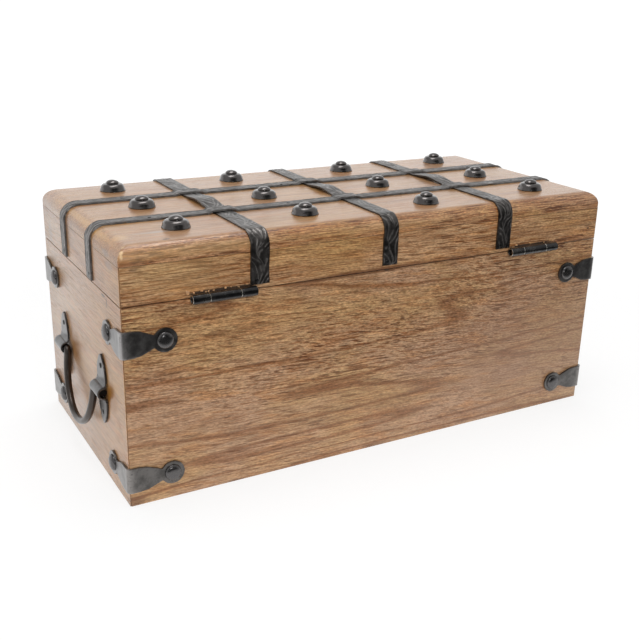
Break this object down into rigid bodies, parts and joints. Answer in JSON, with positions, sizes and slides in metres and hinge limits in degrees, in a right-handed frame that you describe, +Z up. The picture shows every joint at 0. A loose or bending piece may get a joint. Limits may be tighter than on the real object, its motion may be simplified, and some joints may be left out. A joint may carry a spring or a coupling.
{
  "type": "chest",
  "caption": "Small wooden treasure chest with hammered iron straps, domed studs, corner brackets, bail handles on both ends, butt hinges and a hasp",
  "frame": {"origin": "middle of the base, on the surface that the chest stands on", "axes": "+X to the right as seen from the front, +Y to the back where the hinges are, +Z up"},
  "size_m": [0.3752, 0.184, 0.1674],
  "materials": {
    "body_wood": "waxed",
    "lid_wood": "waxed",
    "strap_iron": "hammered, blackened",
    "stud_iron": "glossy black",
    "bracket_iron": "blackened",
    "handle_iron": "blackened",
    "hinge_iron": "blackened",
    "hasp_iron": "blackened"
  },
  "bodies": {
    "chest": {"front_board": "body_wood", "back_board": "body_wood", "left_board": "body_wood", "right_board": "body_wood", "bottom_board": "body_wood", "bracket_front_left_upper": "bracket_iron", "bracket_front_left_lower": "bracket_iron", "bracket_front_right_upper": "bracket_iron", "bracket_front_right_lower": "bracket_iron", "bracket_back_left_upper": "bracket_iron", "bracket_back_left_lower": "bracket_iron", "bracket_back_right_upper": "bracket_iron", "bracket_back_right_lower": "bracket_iron", "left_handle_staple_front": "handle_iron", "left_handle_staple_back": "handle_iron", "right_handle_staple_front": "handle_iron", "right_handle_staple_back": "handle_iron", "hinge_left_body_leaf": "hinge_iron", "hinge_left_pin": "hinge_iron", "hinge_right_body_leaf": "hinge_iron", "hinge_right_pin": "hinge_iron", "hasp_staple": "hasp_iron"},
    "lid": {"lid_top_board": "lid_wood", "lid_front_rail": "lid_wood", "lid_back_rail": "lid_wood", "lid_left_rail": "lid_wood", "lid_right_rail": "lid_wood", "cross_strap_left": "strap_iron", "cross_strap_middle": "strap_iron", "cross_strap_right": "strap_iron", "long_strap_front": "strap_iron", "long_strap_back": "strap_iron", "stud_front_1": "stud_iron", "stud_front_2": "stud_iron", "stud_front_3": "stud_iron", "stud_front_4": "stud_iron", "stud_middle_1": "stud_iron", "stud_middle_2": "stud_iron", "stud_middle_3": "stud_iron", "stud_middle_4": "stud_iron", "stud_back_1": "stud_iron", "stud_back_2": "stud_iron", "stud_back_3": "stud_iron", "stud_back_4": "stud_iron", "hinge_left_lid_leaf": "hinge_iron", "hinge_right_lid_leaf": "hinge_iron", "hasp_plate": "hasp_iron", "hasp_pin": "hasp_iron"},
    "hasp": {"hasp_leaf": "hasp_iron"},
    "left_bail": {"left_handle_bail": "handle_iron"},
    "right_bail": {"right_handle_bail": "handle_iron"}
  },
  "joints": [
    {"name": "lid_hinge", "type": "hinge", "parent": "chest", "child": "lid", "pos_m": [0, 0.0868, 0.1258], "axis": [-1, 0, 0], "range_deg": [0, 180]},
    {"name": "hasp_hinge", "type": "hinge", "parent": "lid", "child": "hasp", "pos_m": [0.0009, -0.086, 0.1291], "axis": [1, 0, 0], "range_deg": [0, 176]},
    {"name": "left_bail_hinge", "type": "hinge", "parent": "chest", "child": "left_bail", "pos_m": [-0.1808, 0, 0.0608], "axis": [0, 1, 0], "range_deg": [-6, 172]},
    {"name": "right_bail_hinge", "type": "hinge", "parent": "chest", "child": "right_bail", "pos_m": [0.1808, 0, 0.0608], "axis": [0, -1, 0], "range_deg": [-6, 172]}
  ]
}
